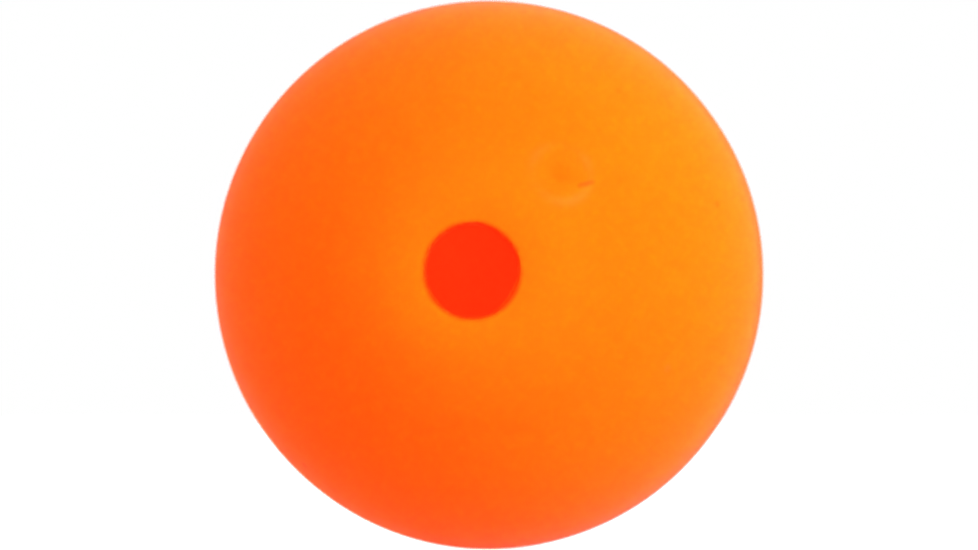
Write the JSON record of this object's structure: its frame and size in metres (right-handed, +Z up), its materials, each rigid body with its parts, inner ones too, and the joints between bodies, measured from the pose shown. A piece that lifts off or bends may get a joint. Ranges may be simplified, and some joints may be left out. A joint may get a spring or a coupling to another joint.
{
  "type": "table tennis ball",
  "caption": "Hollow plastic ball of cemented half shells, with a small round hole through one side.",
  "frame": {"origin": "centre of the ball's outer sphere, which is the middle of the bounding box to within 0.37 mm, because the -Y side is pressed flat round the hole", "axes": "+Z up, +X to the viewer's right; the hole's axis is the Y axis and the hole faces -Y; the seam lies in the XZ plane"},
  "size_m": [0.04, 0.0393, 0.04],
  "materials": {
    "shell_plastic": "matt, slightly translucent orange ball plastic, faintly pitted by its blast-textured mould",
    "seam_cement": "dried solvent cement, the same orange as the shells but a little duller"
  },
  "bodies": {
    "root": {"front_half_shell": "shell_plastic", "rear_half_shell": "shell_plastic", "seam_cement": "seam_cement"}
  },
  "joints": []
}
